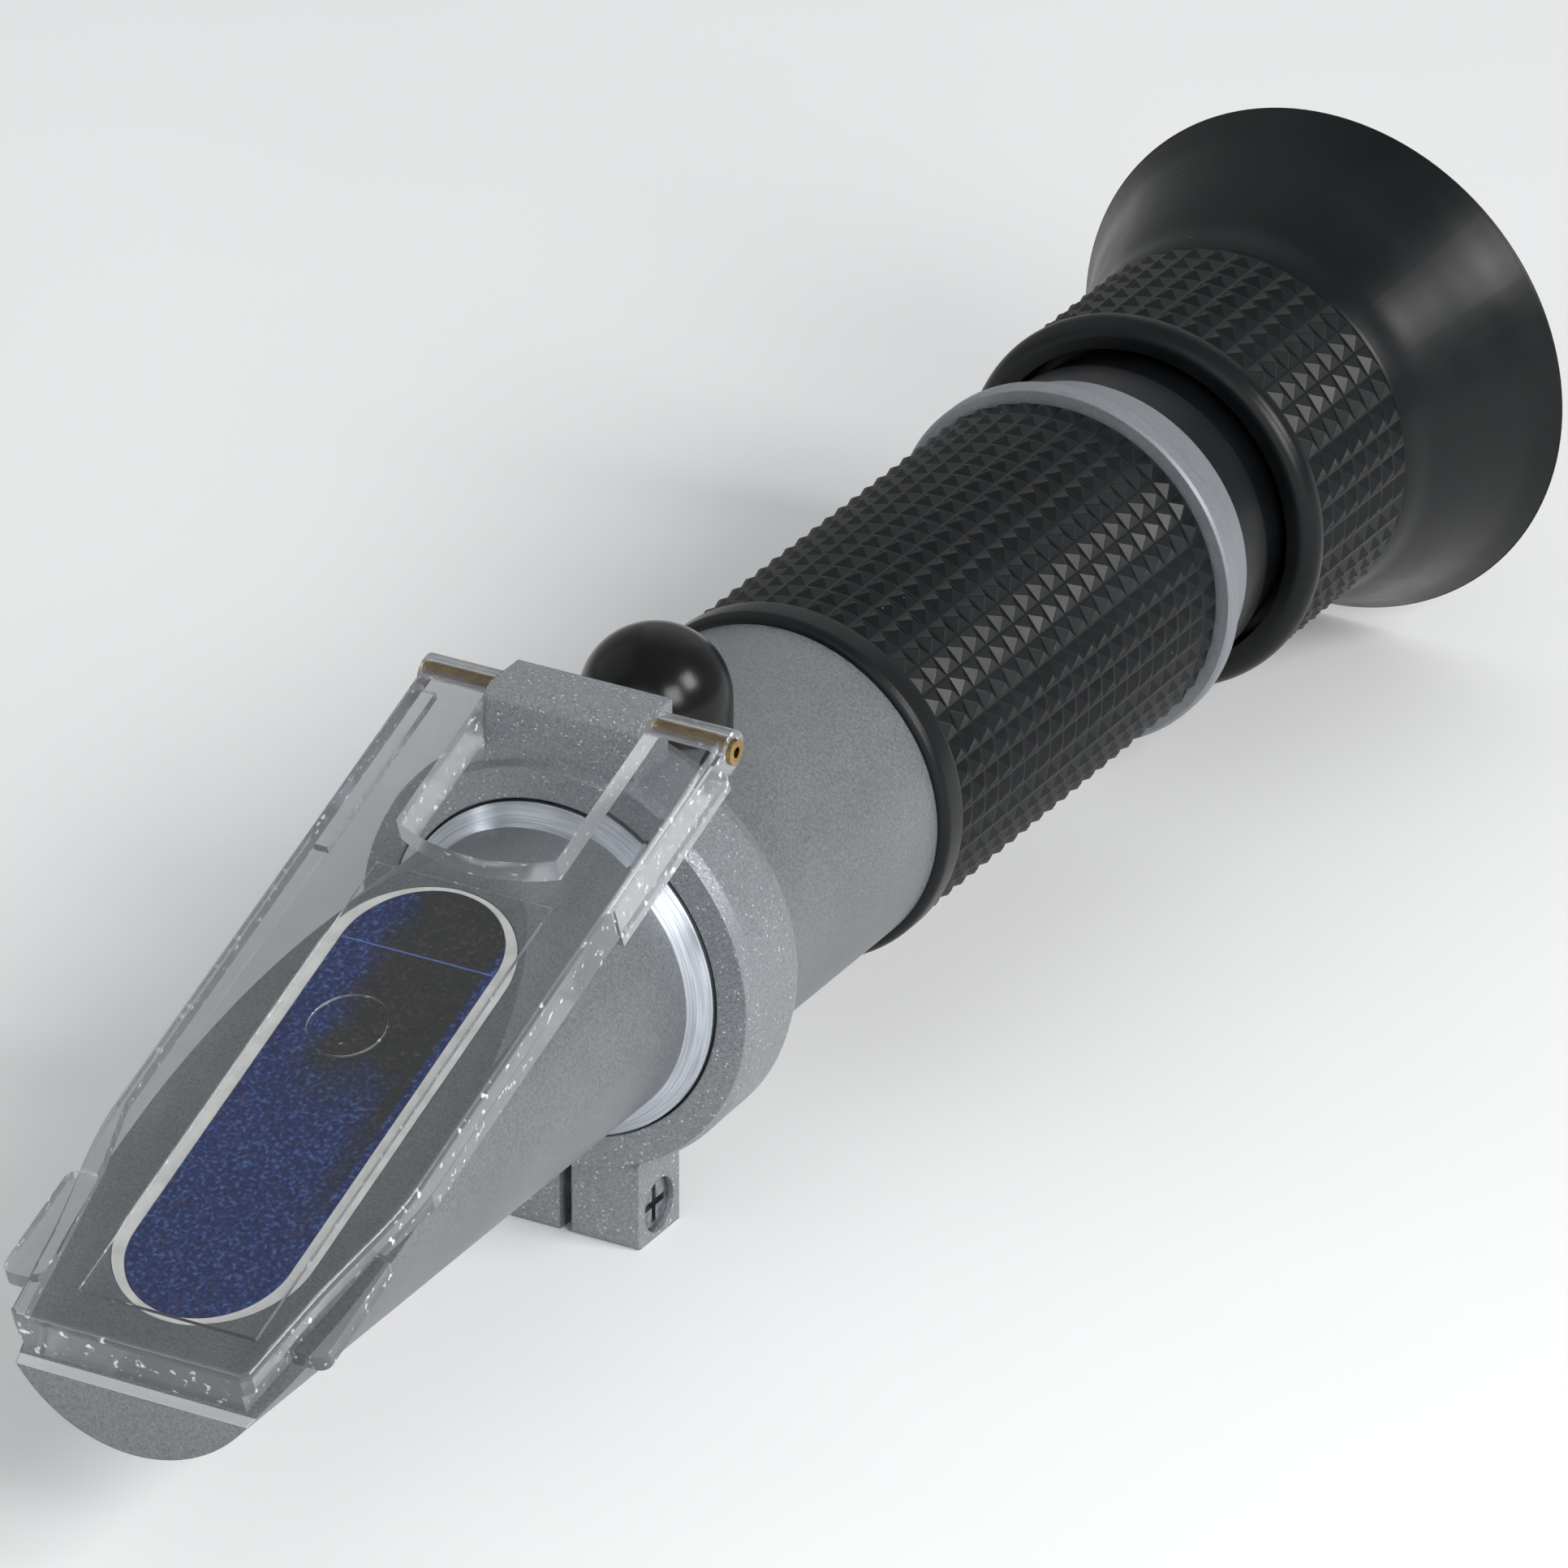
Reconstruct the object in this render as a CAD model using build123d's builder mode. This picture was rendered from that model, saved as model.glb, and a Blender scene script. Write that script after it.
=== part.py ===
"""Hand-held refractometer, in millimetres.

The instrument lies along Y: the prism end points to -Y and the eyecup to +Y, with +Z up.
The origin is under the middle of its length, on the surface that it lies on.
Outlines are given as (station, radius): a station is the distance along the tube's axis
from the front edge of the grip, and a height is measured from that axis.
"""
from build123d import *
import os

# ---------------------------------------------------------------- placing
axis_height = 21.5
grip_front = 2.65
slip = 0.05

# ---------------------------------------------------------------- head and prism
head_r = 11.3
head_front = -88.6
head_rear = -33.3
head_bore_r = 9.5
slope = 20.6
slant_start_height = -6.67
roof = 2.3
window_start = 5.5
window_length = 42.2
window_width = 15.0
glass_start = 6.05
glass_length = 41.25
glass_width = 12.2
prism_floor = -6.4

# ---------------------------------------------------------------- tube and collar
tube_r = 12.85
tube_bore_r = 11.2
tube_front = -31.35
grip_seat_r = 12.0
grip_length = 42.0
collar_front = -31.9
collar_rear = -23.6
collar_r = 15.6
hinge_y = -28.5
hinge_z = 18.5
hinge_pin_r = 0.9
hinge_pin_half = 12.6
block_half = 6.2
block_front = -31.0
block_rear = -26.3
block_top = 20.15
lug_left = -4.7
lug_right = 5.95
lug_front = -30.8
lug_rear = -25.05
lug_screw_y = -27.85
lug_screw_z = -19.1

# ---------------------------------------------------------------- daylight plate
plate_top = 3.96
plate_waist = 2.06
plate_bottom = 0.45
plate_front = 0.87
plate_half = 12.2
pad_half = 7.0
pad_front = 5.8
pad_end = 48.0
tab_half = 12.8
tab_front = 5.2
tab_rear = 15.0
tab_bottom = 1.3
tab_top = 2.6
mark_u = 32.0
mark_r = 2.95
arm_start = 47.7
arm_half = 12.25
arm_inner = 6.4
window_u = 50.5
skirt = 1.2
pin_u = 65.11
pin_w = 2.415
film = 0.1

# ---------------------------------------------------------------- calibration
screw_y = -17.9
cap_r = 5.5
cap_bore_r = 4.15
cap_centre = 15.05
boss_r = 3.85
boss_top = 14.2

# ---------------------------------------------------------------- objective
flat = 8.5

# ---------------------------------------------------------------- eyepiece
flange_r = 14.2
boss_end = 47.7
neck_step_r = 12.4
neck_r = 12.0
guide_r = 11.2
guide_bore_r = 9.4
guide_end = 66.0
sleeve_bore_r = 11.28
sleeve_r = 12.6
sleeve_front = 56.6
sleeve_rear = 72.0
barrel_r = 9.32
rim_r = 20.5
rim_station = 84.0

os.makedirs("parts", exist_ok=True)

tube_axis = Axis((0, grip_front, axis_height), (0, 1, 0))
side = Plane(origin=(0, grip_front, axis_height), x_dir=(0, 1, 0), z_dir=(1, 0, 0))
top_view = Plane(origin=(0, grip_front, axis_height), x_dir=(1, 0, 0), z_dir=(0, 0, 1))


def across(station):
    """Plane across the tube: X to the right, Z up, its normal towards the prism end."""
    return Plane(origin=(0, grip_front + station, axis_height), x_dir=(1, 0, 0), z_dir=(0, -1, 0))


slant_origin = (0, grip_front + head_front, axis_height + slant_start_height)
slant = Plane(origin=slant_origin, x_dir=(1, 0, 0), z_dir=(0, 0, 1)).rotated((slope, 0, 0))


def turn(points, mode=Mode.ADD):
    """Revolve a closed outline of (station, radius) points about the tube's axis."""
    with BuildSketch(side) as outline:
        with BuildLine():
            Polyline(*points, close=True)
        make_face()
    revolve(outline.sketch, axis=tube_axis, mode=mode)


def ring(front, rear, outer, inner, mode=Mode.ADD):
    """A plain ring about the tube's axis."""
    turn([(front, inner), (front, outer), (rear, outer), (rear, inner)], mode)


def stadium(length, width, start, above, below, mode=Mode.ADD):
    """A round-ended bar on the slanted face, from `above` it down to `below` it."""
    with BuildSketch(slant.offset(above)) as outline:
        with Locations((0, start + length / 2)):
            SlotOverall(length, width, rotation=90)
    extrude(outline.sketch, amount=-(above + below), mode=mode)


def block(plane, low, high, mode=Mode.ADD):
    """A box between two corners in a plane's own coordinates."""
    with BuildSketch(plane.offset(low[2])) as outline:
        with Locations(((low[0] + high[0]) / 2, (low[1] + high[1]) / 2)):
            Rectangle(high[0] - low[0], high[1] - low[1])
    extrude(outline.sketch, amount=high[2] - low[2], mode=mode)


def lens(flat_station, edge_station, apex_station, radius):
    """A plano-convex lens: flat on one side, a spherical cap on the other."""
    rise = apex_station - edge_station
    sphere_r = (radius**2 + rise**2) / (2 * abs(rise))
    sphere_centre = apex_station - sphere_r * rise / abs(rise)
    with BuildSketch(side) as outline:
        with BuildLine():
            Polyline((apex_station, 0), (flat_station, 0), (flat_station, radius), (edge_station, radius))
            mid_r = radius / 2
            mid_station = sphere_centre + (sphere_r**2 - mid_r**2) ** 0.5 * rise / abs(rise)
            ThreePointArc((edge_station, radius), (mid_station, mid_r), (apex_station, 0))
        make_face()
    revolve(outline.sketch, axis=tube_axis)


def rod(plane, centre, radius, low, high, mode=Mode.ADD):
    """A round bar along a plane's normal."""
    with BuildSketch(plane.offset(low)) as outline:
        with Locations(centre):
            Circle(radius)
    extrude(outline.sketch, amount=high - low, mode=mode)


# ================================================================ head
with BuildPart() as light_path:
    ring(head_front + 8.6, head_rear + 1, head_bore_r, 0)
    split(bisect_by=slant.offset(-roof), keep=Keep.BOTTOM)

with BuildPart() as prism_housing:
    ring(head_front, head_rear, head_r, 0)
    split(bisect_by=slant, keep=Keep.BOTTOM)
    add(light_path.part, mode=Mode.SUBTRACT)
    stadium(window_length, window_width, window_start, 1, roof + 1, Mode.SUBTRACT)

with BuildPart() as prism_seal:
    stadium(window_length - 2 * slip, window_width - 2 * slip, window_start + slip, -slip, roof)
    stadium(glass_length + 2 * slip, glass_width + 2 * slip, glass_start - slip, 1, roof + 1, Mode.SUBTRACT)

with BuildPart() as prism:
    stadium(glass_length, glass_width, glass_start, 0, roof)
    with BuildSketch(side.offset(-glass_width / 2 + 0.1)) as wedge:
        with BuildLine():
            Polyline((-76, prism_floor), (-50, prism_floor), (-50, 5.7), (-76, -4.2), close=True)
        make_face()
    extrude(wedge.sketch, amount=glass_width - 0.2)

with BuildPart() as front_baffle:
    ring(-38.4, -37.4, head_bore_r - slip, 0)
    block(across(-37.0), (-5.5, -4.0, 0), (5.5, 4.0, 2), Mode.SUBTRACT)

with BuildPart() as mount_ring:
    turn([
        (-37.0, 8.2), (-37.0, head_bore_r - slip), (head_rear, head_bore_r - slip),
        (head_rear, head_r), (-32.1, 12.75), (-31.4, 12.75),
        (-31.4, tube_bore_r - slip), (-27.0, tube_bore_r - slip), (-27.0, 8.2),
    ])
    ring(-30.0, -28.6, 12.0, 10.2, Mode.SUBTRACT)

with BuildPart() as housing_o_ring:
    with BuildSketch(side) as cord_section:
        with Locations((-29.3, 10.7)):
            Circle(0.46)
    revolve(cord_section.sketch, axis=tube_axis)

# ================================================================ tube and grip
with BuildPart() as main_tube:
    turn([
        (tube_front, tube_bore_r), (tube_front, tube_r - 0.3), (tube_front + 0.3, tube_r),
        (0, tube_r), (0, grip_seat_r), (grip_length, grip_seat_r), (grip_length, tube_bore_r),
    ])
    rod(top_view, (0, screw_y), 3.05, 5, 15, Mode.SUBTRACT)

with BuildPart() as grip_sleeve:
    with BuildSketch(side) as grip_outline:
        with BuildLine():
            Line((0, grip_seat_r + slip), (0, 12.9))
            RadiusArc((0, 12.9), (0.75, 13.6), 0.75)
            Line((0.75, 13.6), (2.4, 13.6))
            Line((2.4, 13.6), (2.9, 13.25))
            Line((2.9, 13.25), (grip_length, 13.25))
            Line((grip_length, 13.25), (grip_length, grip_seat_r + slip))
            Line((grip_length, grip_seat_r + slip), (0, grip_seat_r + slip))
        make_face()
    revolve(grip_outline.sketch, axis=tube_axis)

with BuildPart() as tube_baffle:
    ring(14, 15, tube_bore_r - slip, 6.5)

# ================================================================ clamp collar
with BuildPart() as clamp_collar:
    turn([
        (collar_front, 12.95), (collar_front, 15.3), (-30.8, collar_r), (-25.4, collar_r - 0.1),
        (collar_rear - 0.5, 15.0), (collar_rear, 14.5), (collar_rear, tube_r + slip),
        (collar_front + 0.5, tube_r + slip),
    ])
    with BuildSketch(side.offset(-block_half)) as hinge_block:
        with BuildLine():
            Polyline(
                (block_front, 13.3), (block_front, block_top), (block_rear, block_top),
                (block_rear, 13.3), close=True,
            )
        make_face()
        fillet(hinge_block.vertices().group_by(Axis.Z)[-1].sort_by(Axis.Y)[0], radius=1.4)
        fillet(hinge_block.vertices().group_by(Axis.Z)[-1].sort_by(Axis.Y)[-1], radius=1.0)
    extrude(hinge_block.sketch, amount=2 * block_half)
    with BuildSketch(side.offset(lug_left)) as lug:
        with BuildLine():
            Polyline(
                (lug_front, -14.2), (lug_front, -axis_height), (lug_rear, -axis_height),
                (lug_rear, -14.2), close=True,
            )
        make_face()
        fillet(lug.vertices().group_by(Axis.Z)[0].sort_by(Axis.Y)[-1], radius=1.2)
        fillet(lug.vertices().group_by(Axis.Z)[0].sort_by(Axis.Y)[0], radius=0.4)
    extrude(lug.sketch, amount=lug_right - lug_left)
    block(across(-24), (-0.5, -25, 0), (0.5, -12, 9), Mode.SUBTRACT)
    rod(side, (hinge_y, hinge_z), hinge_pin_r + 0.02, -10, 10, Mode.SUBTRACT)
    rod(side, (lug_screw_y, lug_screw_z), 1.25, -10, 0, Mode.SUBTRACT)
    rod(side, (lug_screw_y, lug_screw_z), 1.3, 0, 10, Mode.SUBTRACT)
    rod(side, (lug_screw_y, lug_screw_z), 2.05, 4.0, 10, Mode.SUBTRACT)

with BuildPart() as clamp_screw:
    rod(side, (lug_screw_y, lug_screw_z), 1.2, -4.3, 4.2)
    rod(side, (lug_screw_y, lug_screw_z), 1.95, 4.02, 5.5)
    for long, short in ((1.45, 0.28), (0.28, 1.45)):
        block(
            side,
            (lug_screw_y - long, lug_screw_z - short, 4.8),
            (lug_screw_y + long, lug_screw_z + short, 6),
            Mode.SUBTRACT,
        )

with BuildPart() as hinge_pin:
    rod(side, (hinge_y, hinge_z), hinge_pin_r, -hinge_pin_half, hinge_pin_half)
    rod(side, (hinge_y, hinge_z), 0.4, -hinge_pin_half, hinge_pin_half, Mode.SUBTRACT)

# ================================================================ daylight plate
with BuildPart() as daylight_plate:
    # upper layer: narrow at the front, widening in a gentle curve to a straight side
    with BuildSketch(slant.offset(plate_waist)) as upper_layer:
        with BuildLine():
            for hand in (-1, 1):
                Line((0, plate_front), (hand * 8.9, plate_front))
                Line((hand * 8.9, plate_front), (hand * 9.5, plate_front + 0.6))
                Spline(
                    (hand * 9.5, plate_front + 0.6), (hand * 9.9, 4.8), (hand * 10.5, 9.3),
                    (hand * 11.4, 14.2), (hand * plate_half, 20.8),
                    tangents=((hand * 0.1, 1), (hand * -0.008, 1)),
                )
                Polyline((hand * plate_half, 20.8), (hand * (arm_half - 0.3), pin_u), (0, pin_u))
        make_face()
    extrude(upper_layer.sketch, amount=plate_top - plate_waist)
    top_face = daylight_plate.faces().sort_by(Axis(slant.origin, slant.z_dir))[-1]
    rim_edges = top_face.edges().filter_by(lambda edge: edge.center().Y < hinge_y + grip_front - 1)
    fillet(rim_edges, radius=0.55)
    # lower layer: drawn in beside the front of the prism
    with BuildSketch(slant.offset(plate_bottom)) as lower_layer:
        with BuildLine():
            for hand in (-1, 1):
                Polyline(
                    (0, plate_front), (hand * 8.7, plate_front), (hand * 10.7, 16),
                    (hand * 12.0, 21.5), (hand * (arm_half - 0.3), pin_u), (0, pin_u),
                )
        make_face()
    extrude(lower_layer.sketch, amount=plate_waist - plate_bottom)
    for hand in (-1, 1):
        # finger tab
        with BuildSketch(slant.offset(tab_bottom)) as tab:
            with Locations((hand * (tab_half - 1.6), (tab_front + tab_rear) / 2)):
                RectangleRounded(3.2, tab_rear - tab_front, 0.8)
        extrude(tab.sketch, amount=tab_top - tab_bottom)
        # deep outer skirt of the arm, and the boss round the hinge pin
        skirt_x = sorted((hand * (arm_half - skirt), hand * arm_half))
        block(slant, (skirt_x[0], arm_start + 0.4, -0.2), (skirt_x[1], pin_u - 1.2, 3.3))
        boss_x = sorted((hand * arm_inner, hand * arm_half))
        rod(side, (hinge_y, hinge_z), plate_top - pin_w, boss_x[0], boss_x[1])
    # pad that spreads the sample over the prism
    block(slant, (-pad_half, pad_front, film), (pad_half, pad_end, plate_bottom + 0.1))
    # window between the arms, with a bowed front edge
    with BuildSketch(slant.offset(-2)) as window:
        with BuildLine():
            ThreePointArc((-arm_inner, window_u), (0, window_u - 1.5), (arm_inner, window_u))
            Polyline(
                (arm_inner, window_u), (arm_inner, pin_u + 3), (-arm_inner, pin_u + 3),
                (-arm_inner, window_u),
            )
        make_face()
    extrude(window.sketch, amount=8, mode=Mode.SUBTRACT)
    rod(side, (hinge_y, hinge_z), hinge_pin_r + slip, -15, 15, Mode.SUBTRACT)
    # round moulding mark in the top face
    rod(slant, (0, mark_u), mark_r, plate_top - 0.1, plate_top + 1, Mode.SUBTRACT)
    rod(slant, (0, mark_u), mark_r - 0.14, plate_top - 0.2, plate_top)

# ================================================================ zero adjustment
with BuildPart() as screw_boss:
    rod(top_view, (0, screw_y), boss_r, 11.0, boss_top)
    ring(-25, -10, tube_r + slip, 0, Mode.SUBTRACT)
    rod(top_view, (0, screw_y), 3.0, 10.4, 13.2)
    rod(top_view, (0, screw_y), 2.7, 12.5, 15, Mode.SUBTRACT)
    rod(top_view, (0, screw_y), 1.46, 10, 13, Mode.SUBTRACT)

with BuildPart() as calibration_screw:
    rod(top_view, (0, screw_y), 2.62, 12.6, 14.0)
    rod(top_view, (0, screw_y), 1.4, 7.4, 13.0)
    block(top_view, (-2.7, screw_y - 0.35, 13.3), (2.7, screw_y + 0.35, 15), Mode.SUBTRACT)

with BuildPart() as screw_retainer:
    rod(top_view, (0, screw_y), 2.6, 9.7, 10.3)
    rod(top_view, (0, screw_y), 1.42, 9, 11, Mode.SUBTRACT)

with BuildPart() as calibration_cap:
    rod(top_view, (0, screw_y), cap_r, 11.0, cap_centre)
    with BuildSketch(side) as dome:
        with Locations((screw_y, cap_centre)):
            Circle(cap_r)
        with Locations((screw_y - cap_r, cap_centre)):
            Rectangle(2 * cap_r, 4 * cap_r, mode=Mode.SUBTRACT)
    cap_axis = Axis((0, grip_front + screw_y, axis_height), (0, 0, 1))
    revolve(dome.sketch, axis=cap_axis)
    with BuildSketch(side) as hollow:
        with Locations((screw_y, cap_centre)):
            Circle(cap_bore_r)
        with Locations((screw_y - cap_bore_r, cap_centre)):
            Rectangle(2 * cap_bore_r, 4 * cap_bore_r, mode=Mode.SUBTRACT)
    revolve(hollow.sketch, axis=cap_axis, mode=Mode.SUBTRACT)
    rod(top_view, (0, screw_y), cap_bore_r, 10, cap_centre, Mode.SUBTRACT)
    ring(-26, -10, tube_r + 0.15, 0, Mode.SUBTRACT)

# ================================================================ objective
with BuildPart() as objective_carriage:
    ring(-21.0, -14.8, 9.2, 6.8)
    block(top_view, (-3, -21.0, 8.0), (3, -14.8, 9.25))
    for hand in (-1, 1):
        cut = sorted((hand * flat, hand * 12))
        block(across(-14), (cut[0], -10, 0), (cut[1], 10, 8), Mode.SUBTRACT)
        hole = sorted((hand * 7.2, hand * 10))
        rod(side, (-18.0, 0), 0.55, hole[0], hole[1], Mode.SUBTRACT)
    rod(top_view, (0, screw_y), 1.46, 6, 11, Mode.SUBTRACT)

with BuildPart() as objective_cell:
    ring(-1.0, 5.0, 9.2, 7.65)
    ring(-1.0, 0.2, 8.4, 6.8)
    for hand in (-1, 1):
        cut = sorted((hand * flat, hand * 12))
        block(across(6), (cut[0], -10, 0), (cut[1], 10, 8), Mode.SUBTRACT)
        hole = sorted((hand * 7.9, hand * 10))
        rod(side, (2.0, 0), 0.55, hole[0], hole[1], Mode.SUBTRACT)

with BuildPart() as bimetal_strips:
    for hand in (-1, 1):
        strip = sorted((hand * flat, hand * (flat + 0.6)))
        block(side, (-20.5, -2.4, strip[0]), (4.5, 2.4, strip[1]))
    for station in (-18.0, 2.0):
        rod(side, (station, 0), 0.55, -12, 12, Mode.SUBTRACT)

with BuildPart() as bimetal_screws:
    for hand in (-1, 1):
        for station, depth in ((-18.0, 7.3), (2.0, 7.95)):
            shank = sorted((hand * depth, hand * 9.3))
            head = sorted((hand * 9.12, hand * 9.7))
            rod(side, (station, 0), 0.5, shank[0], shank[1])
            rod(side, (station, 0), 1.0, head[0], head[1])

with BuildPart() as objective_lens:
    lens(0.25, 3.0, 4.1, 7.6)

with BuildPart() as objective_retaining_ring:
    ring(3.3, 4.7, 7.6, 6.9)

# ================================================================ eyepiece mount
with BuildPart() as eyepiece_flange:
    turn([
        (36.0, 10.35), (36.0, tube_bore_r - slip), (42.05, tube_bore_r - slip), (42.05, flange_r - 0.2),
        (42.25, flange_r), (43.4, flange_r), (43.6, flange_r - 0.2), (43.6, 12.55), (boss_end, 12.55),
        (boss_end, 10.4), (43.0, 10.4), (43.0, 9.0), (39.05, 9.0), (39.05, 10.35),
    ])

with BuildPart() as reticle:
    ring(37.5, 39.0, 10.3, 0)

with BuildPart() as reticle_retaining_ring:
    ring(36.2, 37.4, 10.3, 8.8)

with BuildPart() as eyepiece_guide_tube:
    turn([
        (43.1, guide_bore_r), (43.1, 10.35), (boss_end + slip, 10.35), (boss_end + slip, neck_step_r),
        (51.2, neck_step_r), (51.6, neck_r), (54.6, neck_r), (54.6, guide_r),
        (guide_end, guide_r), (guide_end, guide_bore_r),
    ])
    for hand in (-1, 1):
        slot_x = sorted((hand * 8, hand * 12))
        block(
            across(guide_end + 1),
            (slot_x[0], -0.8, 0),
            (slot_x[1], 0.8, guide_end + 1 - 57.5),
            Mode.SUBTRACT,
        )

# ================================================================ ocular
with BuildPart() as ocular_barrel:
    turn([
        (56.0, 8.5), (56.0, barrel_r), (68.7, barrel_r), (68.7, 11.2), (69.6, 11.2),
        (69.6, barrel_r), (71.5, barrel_r), (71.5, 7.4), (70.5, 7.4), (70.5, 8.5),
    ])
    rod(side, (60.0, 0), 0.7, -12, 12, Mode.SUBTRACT)

with BuildPart() as guide_pins:
    for hand in (-1, 1):
        pin = sorted((hand * 8.6, hand * 10.9))
        rod(side, (60.0, 0), 0.68, pin[0], pin[1])

with BuildPart() as field_lens:
    lens(58.35, 59.3, 61.2, 8.42)

with BuildPart() as lens_spacer:
    ring(59.75, 67.65, 8.42, 7.6)

with BuildPart() as eye_lens:
    lens(70.4, 68.1, 66.1, 8.42)

with BuildPart() as ocular_retaining_ring:
    ring(56.9, 58.3, 8.42, 7.2)

# ================================================================ focusing ring
with BuildPart() as focus_sleeve:
    turn([
        (sleeve_front, sleeve_bore_r), (sleeve_front, sleeve_r), (sleeve_rear, sleeve_r),
        (sleeve_rear, sleeve_bore_r), (68.6, sleeve_bore_r), (68.6, 9.8), (67.8, 9.8),
        (67.8, sleeve_bore_r),
    ])

with BuildPart() as sleeve_retaining_ring:
    ring(69.75, 71.4, sleeve_bore_r - 0.03, 9.8)

with BuildPart() as eyecup:
    with BuildSketch(side) as cup_outline:
        with BuildLine():
            Line((53.6, sleeve_r + slip), (53.6, 13.2))
            ThreePointArc((53.6, 13.2), (54.1, 14.5), (55.2, 15.0))
            Line((55.2, 15.0), (55.9, 14.7))
            Line((55.9, 14.7), (69.8, 14.75))
            Spline(
                (69.8, 14.75), (74.0, 16.0), (79.0, 18.0), (rim_station - 0.4, rim_r),
                tangents=((1, 0.05), (0.9, 0.62)),
            )
            ThreePointArc(
                (rim_station - 0.4, rim_r), (rim_station, rim_r - 0.25),
                (rim_station - 0.1, rim_r - 0.7),
            )
            Spline(
                (rim_station - 0.1, rim_r - 0.7), (79.0, 16.7), (75.0, 14.2), (72.4, 12.2),
                tangents=((-0.9, -0.62), (-0.8, -0.8)),
            )
            Line((72.4, 12.2), (72.1, 12.2))
            Line((72.1, 12.2), (72.1, sleeve_r + slip))
            Line((72.1, sleeve_r + slip), (53.6, sleeve_r + slip))
        make_face()
    revolve(cup_outline.sketch, axis=tube_axis)

nodes = {
    "prism_housing": prism_housing, "prism_seal": prism_seal, "prism": prism,
    "front_baffle": front_baffle, "mount_ring": mount_ring, "housing_o_ring": housing_o_ring,
    "main_tube": main_tube, "grip_sleeve": grip_sleeve, "tube_baffle": tube_baffle,
    "clamp_collar": clamp_collar, "clamp_screw": clamp_screw, "hinge_pin": hinge_pin,
    "daylight_plate": daylight_plate, "screw_boss": screw_boss,
    "calibration_screw": calibration_screw, "screw_retainer": screw_retainer,
    "calibration_cap": calibration_cap, "objective_carriage": objective_carriage,
    "objective_cell": objective_cell, "bimetal_strips": bimetal_strips,
    "bimetal_screws": bimetal_screws, "objective_lens": objective_lens,
    "objective_retaining_ring": objective_retaining_ring, "eyepiece_flange": eyepiece_flange,
    "reticle": reticle, "reticle_retaining_ring": reticle_retaining_ring,
    "eyepiece_guide_tube": eyepiece_guide_tube, "ocular_barrel": ocular_barrel,
    "guide_pins": guide_pins, "field_lens": field_lens, "lens_spacer": lens_spacer,
    "eye_lens": eye_lens, "ocular_retaining_ring": ocular_retaining_ring,
    "focus_sleeve": focus_sleeve, "sleeve_retaining_ring": sleeve_retaining_ring,
    "eyecup": eyecup,
}
for name, piece in nodes.items():
    piece.part.label = name
    export_step(piece.part, f"parts/{name}.step")
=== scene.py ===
"""Looks of the hand-held refractometer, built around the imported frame. Metres, +Y to the eyecup."""
import math

import bpy
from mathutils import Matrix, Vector


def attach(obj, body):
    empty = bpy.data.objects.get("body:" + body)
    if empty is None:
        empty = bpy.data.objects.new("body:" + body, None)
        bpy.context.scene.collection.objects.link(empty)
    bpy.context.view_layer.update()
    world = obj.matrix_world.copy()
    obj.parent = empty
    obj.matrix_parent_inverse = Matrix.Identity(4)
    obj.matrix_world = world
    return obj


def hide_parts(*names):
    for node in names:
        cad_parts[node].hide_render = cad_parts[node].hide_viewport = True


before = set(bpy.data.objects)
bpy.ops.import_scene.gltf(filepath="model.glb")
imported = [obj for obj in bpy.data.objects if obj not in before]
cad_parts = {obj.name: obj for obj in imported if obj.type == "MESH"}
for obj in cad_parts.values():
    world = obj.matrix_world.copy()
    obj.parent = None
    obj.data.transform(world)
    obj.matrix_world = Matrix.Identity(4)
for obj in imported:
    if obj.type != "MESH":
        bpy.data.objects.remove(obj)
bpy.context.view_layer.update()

MM = 0.001

# ---------------------------------------------------------------- placing (mm)
GRIP_FRONT = 2.65
AXIS_HEIGHT = 21.5
SLANT_Y = -85.95
SLANT_Z = 14.83
SLOPE = math.radians(20.6)
LEDGE_LENGTH = 0.87
HAIRLINE_AT = 41.1
HAIRLINE_REACH = 0.06

# ---------------------------------------------------------------- knurling (mm)
CELLS_AROUND = 44
CELL_LENGTH = 1.953
VALLEY = 0.14
TIP = 0.12
RIDGE = 0.05
KNURL_RADIUS = 13.2
SHARP_ANGLE = math.radians(24)

# ---------------------------------------------------------------- grip and eyecup (mm)
GRIP_REAR = 41.98
GRIP_BORE = 12.06
GRIP_BAND_START = 2.9
GRIP_COLUMNS = 20
GRIP_BASE = 13.02
GRIP_TOP = 13.45
CUP_BORE = 12.72
CUP_BAND_START = 55.98
CUP_COLUMNS = 7
CUP_BASE = 14.42
CUP_TOP = 14.88
CURVE_STEPS = 6

# ---------------------------------------------------------------- camera
VIEW_AZIMUTH = math.radians(29.43)
VIEW_ELEVATION = math.radians(26.75)
VIEW_ROLL = math.radians(0.11)
CAMERA_PLACE = Vector((459.9, -812.05, 493.5)) * MM
LENS = 335.8
SENSOR = 36.0


def srgb(red, green, blue):
    """A display colour, 0 to 255, as the linear colour that sockets take."""
    linear = []
    for value in (red, green, blue):
        share = value / 255
        linear.append(share / 12.92 if share <= 0.04045 else ((share + 0.055) / 1.055) ** 2.4)
    return (*linear, 1.0)


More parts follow.
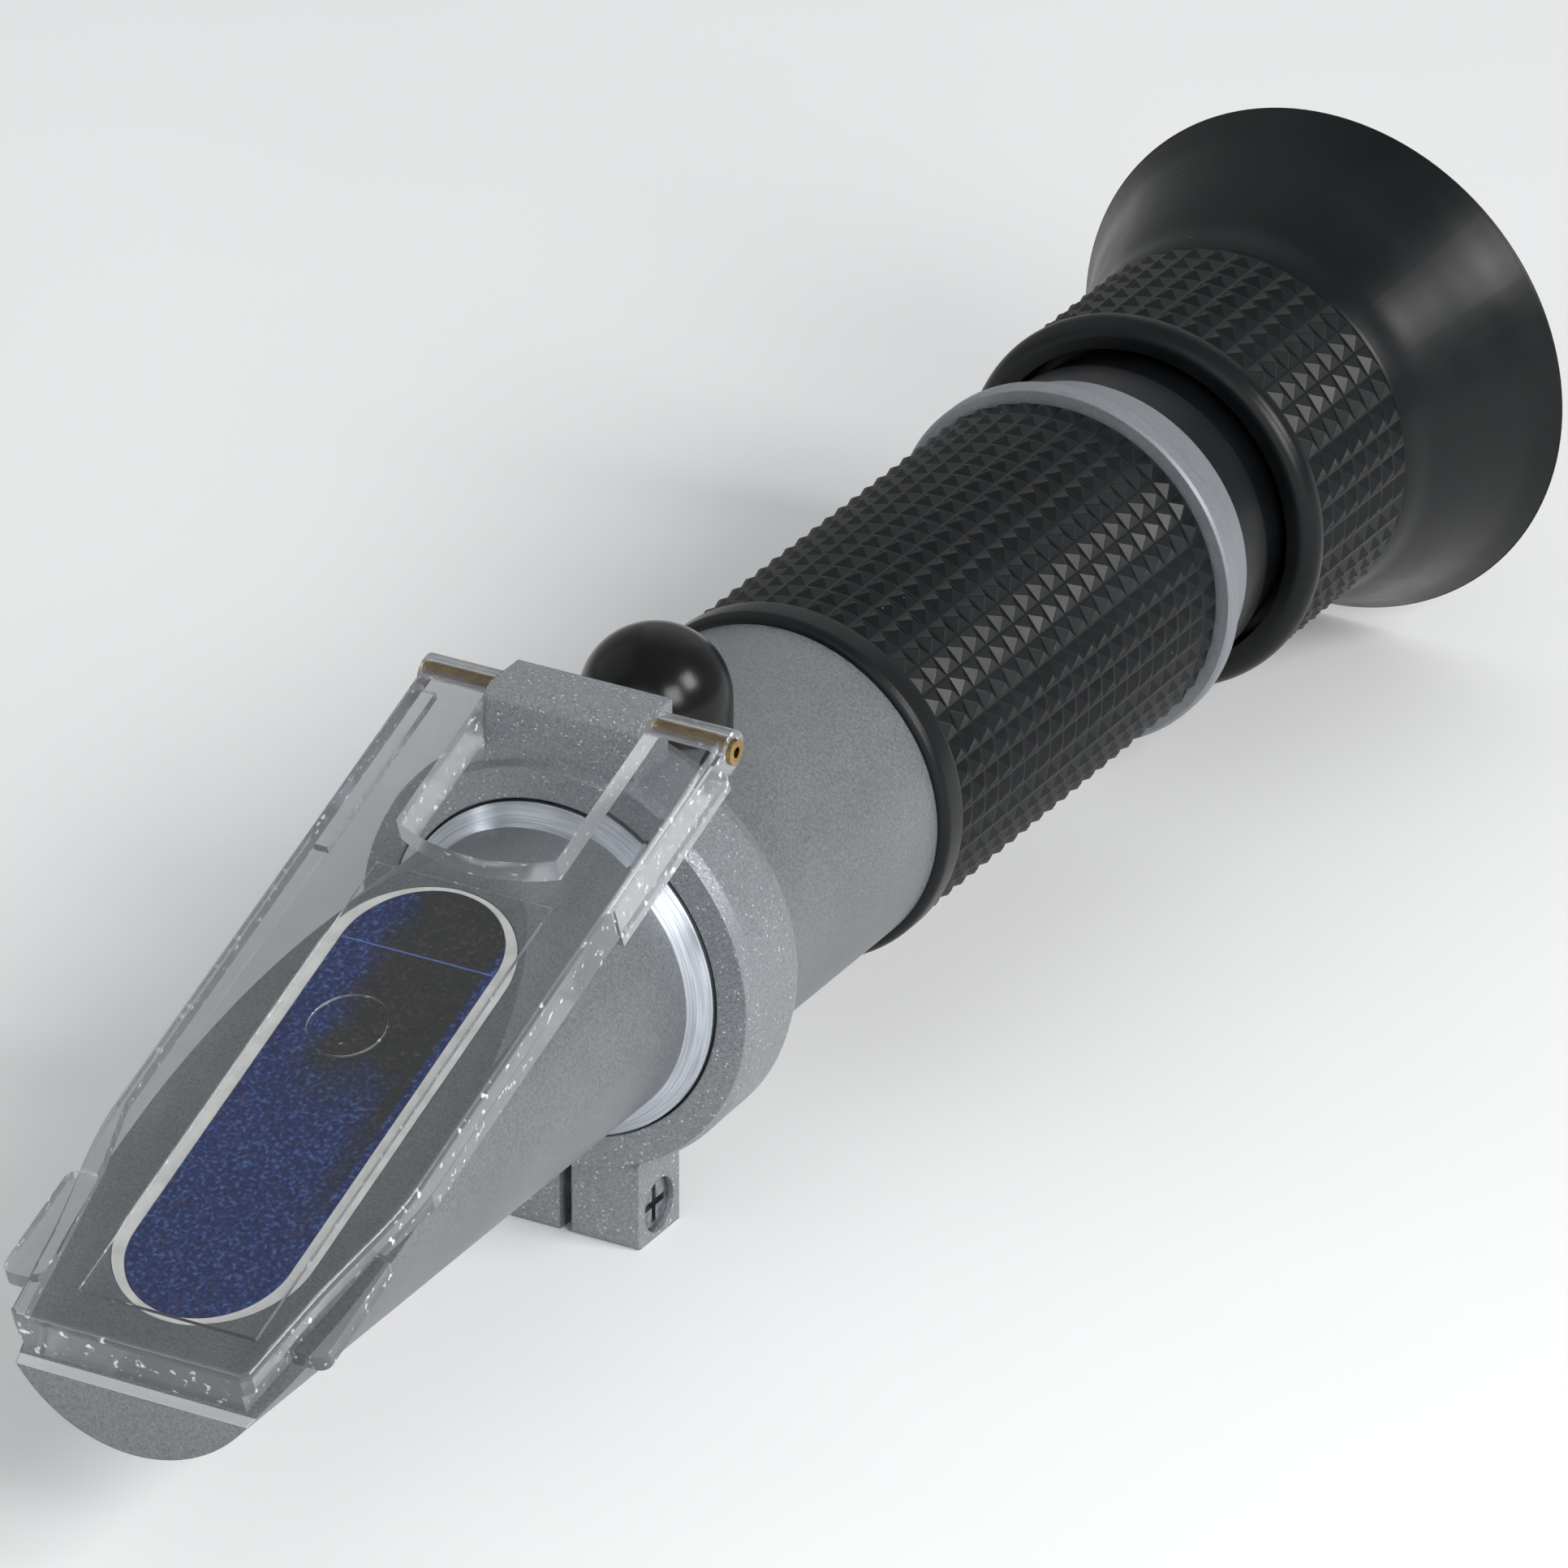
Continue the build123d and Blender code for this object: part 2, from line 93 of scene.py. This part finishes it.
# ================================================================ materials
class Surface:
    """A node material: one Principled shader, and small helpers that lay nodes in front of it."""

    def __init__(self, name, **settings):
        self.material = bpy.data.materials.new(name)
        self.material.use_nodes = True
        self.tree = self.material.node_tree
        self.shader = self.tree.nodes["Principled BSDF"]
        self.place = self.add("ShaderNodeTexCoord").outputs["Object"]
        for key, value in settings.items():
            self.shader.inputs[key.replace("_", " ")].default_value = value

    def add(self, kind, inputs=None, **settings):
        node = self.tree.nodes.new(kind)
        for key, value in settings.items():
            setattr(node, key, value)
        for key, value in (inputs or {}).items():
            if isinstance(value, bpy.types.NodeSocket):
                self.tree.links.new(value, node.inputs[key])
            else:
                node.inputs[key].default_value = value
        return node

    def set(self, key, source):
        self.tree.links.new(source, self.shader.inputs[key])

    def noise(self, size, detail=2.0, place=None):
        """Cloudy noise whose blotches are about `size` mm across."""
        node = self.add(
            "ShaderNodeTexNoise",
            {"Vector": place or self.place, "Scale": 1 / (size * MM), "Detail": detail},
        )
        return node.outputs["Fac"]

    def stretched(self, x, y, z):
        """The place with each axis scaled, for streaks and rings."""
        node = self.add("ShaderNodeMapping", {"Vector": self.place, "Scale": (x, y, z)})
        return node.outputs["Vector"]

    def cells(self, size):
        """Random flakes about `size` mm across: the colour and distance of each cell."""
        node = self.add("ShaderNodeTexVoronoi", {"Vector": self.place, "Scale": 1 / (size * MM)})
        return node.outputs["Color"], node.outputs["Distance"]

    def remap(self, value, low, high, start=0.0, end=1.0):
        node = self.add(
            "ShaderNodeMapRange",
            {"Value": value, "From Min": low, "From Max": high, "To Min": start, "To Max": end},
        )
        return node.outputs["Result"]

    def ramp(self, value, *stops):
        node = self.add("ShaderNodeValToRGB", {"Fac": value})
        band = node.color_ramp.elements
        while len(band) < len(stops):
            band.new(1.0)
        for element, (position, colour) in zip(band, stops):
            element.position = position
            element.color = colour
        return node.outputs["Color"]

    def mix(self, factor, first, second):
        """Blend two colours; the numbers are the colour sockets of the Mix node."""
        node = self.add("ShaderNodeMix", {0: factor, 6: first, 7: second}, data_type="RGBA")
        return node.outputs[2]

    def maths(self, operation, first, second=0.0):
        node = self.add("ShaderNodeMath", {0: first, 1: second}, operation=operation)
        return node.outputs["Value"]

    def on_slant(self):
        """Distance up the slanted face and height above it, in mm."""
        parts = self.add("ShaderNodeSeparateXYZ", {"Vector": self.place})
        run = self.maths("SUBTRACT", parts.outputs["Y"], SLANT_Y * MM)
        rise = self.maths("SUBTRACT", parts.outputs["Z"], SLANT_Z * MM)
        cosine, sine = math.cos(SLOPE) / MM, math.sin(SLOPE) / MM
        along = self.maths(
            "ADD", self.maths("MULTIPLY", run, cosine), self.maths("MULTIPLY", rise, sine),
        )
        above = self.maths(
            "SUBTRACT", self.maths("MULTIPLY", rise, cosine), self.maths("MULTIPLY", run, sine),
        )
        return along, above

    def bump(self, height, depth, strength=1.0, normal=None):
        """Relief of `depth` mm on the surface."""
        inputs = {"Height": height, "Distance": depth * MM, "Strength": strength}
        if normal:
            inputs["Normal"] = normal
        return self.add("ShaderNodeBump", inputs).outputs["Normal"]

    def soft_edges(self, radius):
        """Normals rounded over by `radius` mm at each edge."""
        return self.add("ShaderNodeBevel", {"Radius": radius * MM}, samples=6).outputs["Normal"]


def satin_paint():
    """Fine metallic paint: grained satin grey, faintly clouded, with a painted highlight on the front
    ledge.
    """
    s = Surface("satin_grey_paint", Metallic=0.35, Specular_IOR_Level=0.5)
    flakes = s.noise(0.2, 3.0)
    clouds = s.noise(9.0, 2.0)
    mixed = s.maths("ADD", s.maths("MULTIPLY", flakes, 0.8), s.maths("MULTIPLY", clouds, 0.2))
    along, above = s.on_slant()
    # painted highlight: the narrow front ledge of the slanted face is painted light grey for the light
    # it catches
    painted_ledge_highlight = s.maths(
        "MULTIPLY", s.maths("LESS_THAN", along, LEDGE_LENGTH), s.maths("GREATER_THAN", above, -0.05),
    )
    paint = s.ramp(mixed, (0.36, srgb(104, 107, 110)), (0.64, srgb(131, 134, 137)))
    s.set("Base Color", s.mix(painted_ledge_highlight, paint, srgb(196, 199, 202)))
    s.set("Roughness", s.remap(flakes, 0.3, 0.7, 0.34, 0.5))
    s.set("Normal", s.bump(flakes, 0.012, 0.45, s.soft_edges(0.15)))
    return s.material


def sparkle_paint():
    """Metallic paint with small flakes: every flake lies at its own angle, flake tones vary at random,
    and the brightest few are painted near-white as glints.
    """
    s = Surface("sparkle_grey_paint", Metallic=0.4, Roughness=0.42)
    colour, _ = s.cells(0.13)
    tilt = s.add("ShaderNodeVectorMath", {0: colour, 1: (0.5, 0.5, 0.5)}, operation="SUBTRACT")
    scaled = s.add("ShaderNodeVectorMath", {0: tilt.outputs[0], "Scale": 0.16}, operation="SCALE")
    leaned = s.add(
        "ShaderNodeVectorMath", {0: s.soft_edges(0.2), 1: scaled.outputs[0]}, operation="ADD",
    )
    even = s.add("ShaderNodeVectorMath", {0: leaned.outputs[0]}, operation="NORMALIZE")
    shade = s.add("ShaderNodeSeparateColor", {"Color": colour}).outputs["Red"]
    # flake tones vary at random; the top stop paints the brightest few flakes near-white, a painted
    # glint
    s.set("Base Color", s.ramp(
        shade, (0.0, srgb(126, 129, 132)), (0.975, srgb(148, 151, 155)), (1.0, srgb(212, 215, 218)),
    ))
    s.set("Normal", even.outputs[0])
    return s.material


def turned_aluminium():
    """Bright lathe-cut metal with fine rings round the tube's axis."""
    s = Surface("turned_aluminium", Metallic=1.0, Anisotropic=0.5)
    rings = s.noise(0.09, 2.0, s.stretched(0.02, 1.0, 0.02))
    broad = s.noise(0.5, 1.0, s.stretched(0.02, 1.0, 0.02))
    s.set("Base Color", s.ramp(rings, (0.3, srgb(168, 174, 182)), (0.7, srgb(214, 219, 226))))
    s.set("Roughness", s.remap(broad, 0.3, 0.7, 0.26, 0.42))
    s.set("Normal", s.bump(rings, 0.02, 0.6, s.soft_edges(0.08)))
    return s.material


def anodised(name, dark, light, roughness, metallic=0.4):
    """Anodised or plated metal with a faint turned grain."""
    s = Surface(name, Metallic=metallic)
    grain = s.noise(0.16, 3.0)
    turned = s.noise(0.12, 1.0, s.stretched(0.05, 1.0, 0.05))
    both = s.maths("ADD", s.maths("MULTIPLY", grain, 0.6), s.maths("MULTIPLY", turned, 0.4))
    s.set("Base Color", s.ramp(both, (0.3, dark), (0.7, light)))
    s.set("Roughness", s.remap(both, 0.3, 0.7, roughness - 0.06, roughness + 0.08))
    s.set("Normal", s.bump(both, 0.008, 0.35, s.soft_edges(0.1)))
    return s.material


def black_moulding(name, tone, roughness, grain, edge, dust=0.0):
    """Black rubber or plastic: a fine skin, slow changes of gloss, and specks of dust."""
    s = Surface(name, Specular_IOR_Level=0.29)
    skin = s.noise(grain, 3.0)
    clouds = s.noise(6.0, 2.0)
    base = s.ramp(clouds, (0.3, srgb(*tone)), (0.7, srgb(*[value + 5 for value in tone])))
    if dust:
        colour, distance = s.cells(1.1)
        chance = s.add("ShaderNodeSeparateColor", {"Color": colour}).outputs["Green"]
        chosen = s.maths("GREATER_THAN", chance, 1 - dust)
        near = s.maths("LESS_THAN", distance, 0.055)
        speck = s.maths("MULTIPLY", chosen, near)
        base = s.mix(speck, base, srgb(120, 122, 124))
    s.set("Base Color", base)
    s.set("Roughness", s.remap(clouds, 0.3, 0.7, roughness - 0.05, roughness + 0.06))
    s.set("Normal", s.bump(skin, 0.01, 0.4, s.soft_edges(edge) if edge else None))
    return s.material


def brass():
    """Drawn brass wire with fine lines along it and slightly darker tarnish."""
    s = Surface("brass", Metallic=1.0)
    lines = s.noise(0.08, 2.0, s.stretched(0.04, 1.0, 1.0))
    tarnish = s.noise(1.2, 3.0)
    s.set("Base Color", s.ramp(tarnish, (0.25, srgb(150, 118, 70)), (0.75, srgb(196, 166, 108))))
    s.set("Roughness", s.remap(lines, 0.3, 0.7, 0.22, 0.4))
    s.set("Normal", s.bump(lines, 0.008, 0.4, s.soft_edges(0.06)))
    return s.material


def steel():
    """Machined steel with fine turned rings."""
    s = Surface("steel", Metallic=1.0)
    turned = s.noise(0.1, 2.0, s.stretched(1.0, 0.15, 0.15))
    s.set("Base Color", s.ramp(turned, (0.3, srgb(122, 124, 128)), (0.7, srgb(178, 181, 186))))
    s.set("Roughness", s.remap(turned, 0.3, 0.7, 0.28, 0.44))
    s.set("Normal", s.bump(turned, 0.01, 0.4, s.soft_edges(0.08)))
    return s.material


def lets_lamps_through(s, tint):
    """Lamps light what is behind the glass: their rays pass straight through, with its tint."""
    tree = s.tree
    clear = s.add("ShaderNodeBsdfTransparent", {"Color": tint})
    ray = s.add("ShaderNodeLightPath")
    pick = s.add("ShaderNodeMixShader", {0: ray.outputs["Is Shadow Ray"]})
    tree.links.new(s.shader.outputs["BSDF"], pick.inputs[1])
    tree.links.new(clear.outputs["BSDF"], pick.inputs[2])
    tree.links.new(pick.outputs["Shader"], tree.nodes["Material Output"].inputs["Surface"])


def clear_acrylic():
    """Moulded clear acrylic: broad faces tinted grey with faint flow waves, a painted shade that
    darkens what shows through them, and hazy edges with painted glints.
    """
    s = Surface("clear_acrylic", IOR=1.49)
    normal = s.add("ShaderNodeTexCoord").outputs["Normal"]
    upright = (0.0, -math.sin(SLOPE), math.cos(SLOPE))
    facing = s.add("ShaderNodeVectorMath", {0: normal, 1: upright}, operation="DOT_PRODUCT")
    edge = s.remap(s.maths("ABSOLUTE", facing.outputs["Value"]), 0.93, 0.7)
    waves = s.noise(2.6, 2.0)
    scuffs = s.noise(0.35, 4.0)
    haze_and_painted_glints = s.noise(0.8, 2.0)
    # painted shade: the broad faces are tinted grey, darker than clear acrylic, to darken what shows
    # through the plate
    clear = s.ramp(waves, (0.3, (0.62, 0.63, 0.64, 1)), (0.7, (0.67, 0.68, 0.69, 1)))
    # real haze on the edges, running up to near-white in spots that are painted glints
    edge_haze_and_painted_glints = s.ramp(haze_and_painted_glints, (0.62, srgb(172, 174, 177)), (0.72, srgb(250, 251, 252)))
    s.set("Base Color", s.mix(edge, clear, edge_haze_and_painted_glints))
    milky = s.maths("MULTIPLY", edge, s.remap(haze_and_painted_glints, 0.62, 0.7, 0.25, 0.7))
    s.set("Transmission Weight", s.maths("SUBTRACT", 1.0, milky))
    scuffed = s.remap(scuffs, 0.45, 0.75, 0.0, 0.07)
    s.set("Roughness", s.maths("ADD", scuffed, s.maths("MULTIPLY", edge, 0.16)))
    s.set("Normal", s.bump(waves, 0.04, 0.2))
    lets_lamps_through(s, (0.9, 0.91, 0.915, 1))
    return s.material


def lens_glass():
    """Coated optical glass."""
    s = Surface(
        "lens_glass", Transmission_Weight=1.0, IOR=1.52, Coat_Weight=0.4, Coat_Tint=(0.72, 0.6, 0.9, 1),
    )
    wipe = s.noise(1.6, 3.0)
    s.set("Base Color", s.ramp(wipe, (0.3, (0.93, 0.96, 0.95, 1)), (0.7, (0.97, 0.98, 0.98, 1))))
    s.set("Roughness", s.remap(wipe, 0.5, 0.8, 0.0, 0.03))
    lets_lamps_through(s, (0.95, 0.96, 0.96, 1))
    return s.material


def prism_glass():
    """Blue prism with fine specks, a dark olive patch towards its rear right that is a painted
    reflection, and a hairline.
    """
    s = Surface(
        "prism_glass", Coat_Weight=0.15, Coat_Roughness=0.14, Roughness=0.4, Specular_IOR_Level=0.3,
    )
    parts = s.add("ShaderNodeSeparateXYZ", {"Vector": s.place})
    wander = s.noise(4.0, 2.0)
    along, _ = s.on_slant()
    sideways = s.maths("MULTIPLY", parts.outputs["X"], 1 / MM)
    loose = s.remap(wander, 0.3, 0.7, -2.2, 2.2)
    # the dark olive patch, a painted reflection: behind its lower edge, right of its left edge, with a
    # strip down the right side
    behind = s.remap(s.maths("ADD", along, loose), 26.5, 32.0)
    right = s.remap(s.maths("ADD", sideways, s.maths("MULTIPLY", loose, 0.4)), -3.6, -1.2)
    strip = s.maths("MULTIPLY", s.remap(sideways, 3.4, 4.8), s.remap(along, 12.0, 28.0))
    rim = s.remap(sideways, 5.75, 5.35)
    painted_reflection_patch = s.maths("MULTIPLY", s.maths("MAXIMUM", s.maths("MULTIPLY", behind, right), strip), rim)
    specks = s.noise(0.34, 4.0)
    warm, _ = s.cells(0.3)
    chance = s.add("ShaderNodeSeparateColor", {"Color": warm}).outputs["Red"]
    reddish = s.maths("GREATER_THAN", chance, 0.93)
    blue = s.ramp(
        specks, (0.4, srgb(0, 20, 74)), (0.54, srgb(4, 42, 106)), (0.68, srgb(78, 102, 152)),
    )
    painted_reflection_olive = s.ramp(
        specks, (0.38, srgb(18, 21, 22)), (0.62, srgb(40, 42, 36)), (0.7, srgb(70, 72, 64)),
    )
    toned = s.mix(painted_reflection_patch, blue, painted_reflection_olive)
    toned = s.mix(s.maths("MULTIPLY", reddish, 0.35), toned, srgb(92, 60, 84))
    line = s.add("ShaderNodeMath", {0: along, 1: HAIRLINE_AT, 2: HAIRLINE_REACH}, operation="COMPARE")
    s.set("Base Color", s.mix(line.outputs["Value"], toned, srgb(92, 116, 190)))
    s.set("Normal", s.bump(wander, 0.01, 0.3))
    return s.material


def seal_compound():
    """Pale potting compound, slightly mottled and matt."""
    s = Surface("seal_compound", Specular_IOR_Level=0.35)
    mottle = s.noise(1.4, 4.0)
    s.set("Base Color", s.ramp(mottle, (0.3, srgb(212, 210, 205)), (0.7, srgb(234, 232, 227))))
    s.set("Roughness", s.remap(mottle, 0.3, 0.7, 0.5, 0.7))
    s.set("Normal", s.bump(mottle, 0.03, 0.5))
    return s.material


def bimetal():
    """Rolled strip with long streaks of coppery and paler tones."""
    s = Surface("bimetal", Metallic=1.0)
    streaks = s.noise(0.2, 2.0, s.stretched(1.0, 0.05, 1.0))
    s.set("Base Color", s.ramp(streaks, (0.3, srgb(150, 118, 92)), (0.7, srgb(196, 176, 150))))
    s.set("Roughness", s.remap(streaks, 0.3, 0.7, 0.3, 0.45))
    return s.material


finishes = {
    "satin_grey_paint": satin_paint(),
    "sparkle_grey_paint": sparkle_paint(),
    "turned_aluminium": turned_aluminium(),
    "light_grey_anodised": anodised(
        "light_grey_anodised", srgb(126, 129, 134), srgb(146, 149, 154), 0.42,
    ),
    "brass": brass(),
    "steel": steel(),
    "black_rubber": black_moulding("black_rubber", (6, 9, 11), 0.33, 0.1, 0.0, dust=0.06),
    "black_plastic": black_moulding("black_plastic", (8, 10, 12), 0.3, 0.14, 0.12),
    "clear_acrylic": clear_acrylic(),
    "prism_glass": prism_glass(),
    "lens_glass": lens_glass(),
    "seal_compound": seal_compound(),
    "black_anodised": anodised(
        "black_anodised", srgb(20, 21, 23), srgb(34, 36, 38), 0.5, metallic=0.3,
    ),
    "bimetal": bimetal(),
}
gloss_rubber = black_moulding("cap_rubber", (3, 4, 5), 0.22, 0.2, 0.0, dust=0.35)

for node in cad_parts.values():
    for holder in node.material_slots:
        holder.material = finishes[holder.material.name]
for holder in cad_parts["calibration_cap"].material_slots:
    holder.material = gloss_rubber


# ================================================================ knurled sleeves
class Sleeve:
    """A turned rubber sleeve with bands of small pyramids, built ring by ring."""

    def __init__(self):
        self.points = []
        self.faces = []
        half_gap = VALLEY / 2 / KNURL_RADIUS
        step = 2 * math.pi / CELLS_AROUND
        shares = (0.0, 1 / 3, 2 / 3, 1.0)
        self.angles = [
            cell * step + half_gap + share * (step - 2 * half_gap)
            for cell in range(CELLS_AROUND)
            for share in shares
        ]
        self.per_cell = len(shares)
        self.step = step
        self.last = None

    def point(self, station, radius, angle):
        self.points.append((
            radius * math.sin(angle) * MM,
            (GRIP_FRONT + station) * MM,
            (AXIS_HEIGHT + radius * math.cos(angle)) * MM,
        ))
        return len(self.points) - 1

    def ring(self, station, radius, joined=True):
        """One ring of points, joined to the ring before it."""
        made = [self.point(station, radius, angle) for angle in self.angles]
        if joined and self.last:
            self.bridge(self.last, made)
        self.last = made
        return made

    def bridge(self, before, after):
        count = len(before)
        for index in range(count):
            following = (index + 1) % count
            self.faces.append((before[index], before[following], after[following], after[index]))

    def band(self, start, columns, base, top):
        """Columns of pyramids round the sleeve, from `start`."""
        for column in range(columns):
            low = start + column * CELL_LENGTH + VALLEY / 2
            high = start + (column + 1) * CELL_LENGTH - VALLEY / 2
            front = self.ring(low, base)
            rear = self.ring(high, base, joined=False)
            middle = (low + high) / 2
            for cell in range(CELLS_AROUND):
                first = cell * self.per_cell
                last = first + self.per_cell - 1
                following = (last + 1) % len(front)
                centre = (cell + 0.5) * self.step
                lean = TIP / 2 / top
                a, b = centre - lean, centre + lean
                tip = [
                    self.point(middle - TIP / 2, top, a), self.point(middle - TIP / 2, top, b),
                    self.point(middle + TIP / 2, top, b), self.point(middle + TIP / 2, top, a),
                ]
                self.faces.append((*front[first:last + 1], tip[1], tip[0]))
                self.faces.append((*reversed(rear[first:last + 1]), tip[3], tip[2]))
                self.faces.append((rear[first], front[first], tip[0], tip[3]))
                self.faces.append((front[last], rear[last], tip[2], tip[1]))
                self.faces.append(tuple(tip))
                self.faces.append((front[last], front[following], rear[following], rear[last]))
            self.last = rear

    def finish(self, name, first_ring):
        """Close the sleeve on its first ring and make the object."""
        self.bridge(self.last, first_ring)
        mesh = bpy.data.meshes.new(name)
        mesh.from_pydata(self.points, [], self.faces)
        mesh.validate()
        mesh.update()
        mesh.shade_smooth()
        mesh.set_sharp_from_angle(angle=SHARP_ANGLE)
        piece = bpy.data.objects.new(name, mesh)
        bpy.context.scene.collection.objects.link(piece)
        return piece


def arc(centre, radius, start, end, steps):
    """Points (station, radius) on an arc, angles in degrees from the +station direction."""
    made = []
    for index in range(steps + 1):
        angle = math.radians(start + (end - start) * index / steps)
        made.append((centre[0] + radius * math.cos(angle), centre[1] + radius * math.sin(angle)))
    return made


def smooth_curve(points, steps):
    """A Catmull-Rom curve through (station, radius) points."""
    padded = [points[0], *points, points[-1]]
    made = []
    for index in range(1, len(padded) - 2):
        p0, p1, p2, p3 = padded[index - 1:index + 3]
        for step in range(steps):
            t = step / steps
            made.append(tuple(
                0.5 * (
                    2 * b + (c - a) * t
                    + (2 * a - 5 * b + 4 * c - d) * t * t
                    + (3 * b - a - 3 * c + d) * t ** 3
                )
                for a, b, c, d in zip(p0, p1, p2, p3)
            ))
    made.append(points[-1])
    return made


def grip():
    """The hand grip: a rounded front collar and twenty columns of pyramids."""
    sleeve = Sleeve()
    first = sleeve.ring(0.02, GRIP_BORE)
    front = arc((0.8, 12.8), 0.78, 180, 90, 8)
    shoulder = arc((2.25, 12.93), 0.65, 90, 30, 5)
    for station, radius in front + shoulder + [(2.86, 13.06)]:
        sleeve.ring(station, radius)
    sleeve.band(GRIP_BAND_START, GRIP_COLUMNS, GRIP_BASE, GRIP_TOP)
    sleeve.ring(GRIP_REAR, GRIP_BASE)
    sleeve.ring(GRIP_REAR, GRIP_BORE)
    return sleeve.finish("grip", first)


def cup():
    """The focusing ring and eyecup, one moulding: lip, groove, pyramids, then a flared cup."""
    sleeve = Sleeve()
    first = sleeve.ring(53.62, CUP_BORE)
    for station, radius in arc((55.0, 13.6), 1.38, 180, 90, 10):
        sleeve.ring(station, radius)
    for station, radius in ((55.4, 14.93), (55.62, 14.75), (55.78, 14.55)):
        sleeve.ring(station, radius)
    sleeve.band(CUP_BAND_START, CUP_COLUMNS, CUP_BASE, CUP_TOP)
    outer = smooth_curve([
        (69.8, 14.55), (70.6, 14.82), (72.2, 15.28), (74.0, 16.0),
        (76.5, 17.0), (79.0, 18.0), (81.5, 19.12), (83.6, 20.4),
    ], CURVE_STEPS)
    rim = arc((83.62, 20.1), 0.36, 85, -60, 8)
    inner = smooth_curve([
        (83.7, 19.7), (81.5, 18.2), (79.0, 16.75), (77.0, 15.55),
        (75.0, 14.2), (73.4, 13.0), (72.5, 12.25),
    ], CURVE_STEPS)
    for station, radius in outer + rim + inner + [(72.12, 12.25), (72.12, CUP_BORE)]:
        sleeve.ring(station, radius)
    return sleeve.finish("eyecup_ring", first)


for piece, body, node_name in ((grip(), "barrel", "grip_sleeve"), (cup(), "focus_ring", "eyecup")):
    rounding = piece.modifiers.new("ridges", "BEVEL")
    rounding.width = RIDGE * MM
    rounding.segments = 2
    rounding.limit_method = "ANGLE"
    rounding.angle_limit = SHARP_ANGLE
    rounding.harden_normals = True
    piece.data.materials.append(finishes["black_rubber"])
    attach(piece, body)
    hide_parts(node_name)


# ================================================================ floor, light and camera
def floor():
    """A pale floor, wide enough to fill the view from any side."""
    span = 4.0
    mesh = bpy.data.meshes.new("floor")
    corners = [(-span, -span, 0), (span, -span, 0), (span, span, 0), (-span, span, 0)]
    mesh.from_pydata(corners, [], [(0, 1, 2, 3)])
    made = bpy.data.objects.new("floor", mesh)
    bpy.context.scene.collection.objects.link(made)
    s = Surface("pale_floor", Roughness=0.85, Specular_IOR_Level=0.2)
    paper = s.noise(60.0, 3.0)
    s.set("Base Color", s.ramp(paper, (0.3, srgb(250, 250, 250)), (0.7, srgb(253, 253, 253))))
    mesh.materials.append(s.material)


def softbox(name, direction, distance, size, watts):
    """A square lamp that faces the middle of the object."""
    target = Vector((0, 0, AXIS_HEIGHT)) * MM
    direction = Vector(direction).normalized()
    lamp = bpy.data.lights.new(name, "AREA")
    lamp.shape = "SQUARE"
    lamp.size = size
    lamp.energy = watts
    holder = bpy.data.objects.new(name, lamp)
    bpy.context.scene.collection.objects.link(holder)
    holder.location = target + direction * distance
    holder.rotation_euler = (-direction).to_track_quat("-Z", "Y").to_euler()


def sky(strength):
    world = bpy.data.worlds.new("studio")
    bpy.context.scene.world = world
    world.use_nodes = True
    background = world.node_tree.nodes["Background"]
    background.inputs["Color"].default_value = (0.96, 0.98, 1.0, 1)
    background.inputs["Strength"].default_value = strength


def camera():
    """The viewpoint: azimuth from -Y towards +X, elevation above the floor."""
    a, e = VIEW_AZIMUTH, VIEW_ELEVATION
    back = Vector((math.sin(a) * math.cos(e), -math.cos(a) * math.cos(e), math.sin(e)))
    right = Vector((math.cos(a), math.sin(a), 0))
    up = back.cross(right)
    turned_right = right * math.cos(VIEW_ROLL) + up * math.sin(VIEW_ROLL)
    turned_up = up * math.cos(VIEW_ROLL) - right * math.sin(VIEW_ROLL)
    data = bpy.data.cameras.new("camera")
    data.lens = LENS
    data.sensor_width = SENSOR
    holder = bpy.data.objects.new("camera", data)
    bpy.context.scene.collection.objects.link(holder)
    for column, axis in enumerate((turned_right, turned_up, back, CAMERA_PLACE)):
        for row in range(3):
            holder.matrix_world[row][column] = axis[row]
    bpy.context.scene.camera = holder


floor()
sky(0.42)
softbox("key", (0.76, -0.46, 0.46), 0.8, 0.3, 3.0)
softbox("right_key", (0.80, 0.08, 0.59), 0.8, 0.26, 2.6)
softbox("left_fill", (-0.8, -0.2, 0.6), 0.9, 0.8, 0.5)
softbox("front_fill", (0.15, -0.95, 0.28), 1.0, 0.8, 1.9)
softbox("rear_fill", (-0.2, 0.8, 0.7), 1.0, 0.8, 0.5)
camera()
bpy.context.scene.view_settings.view_transform = "Standard"
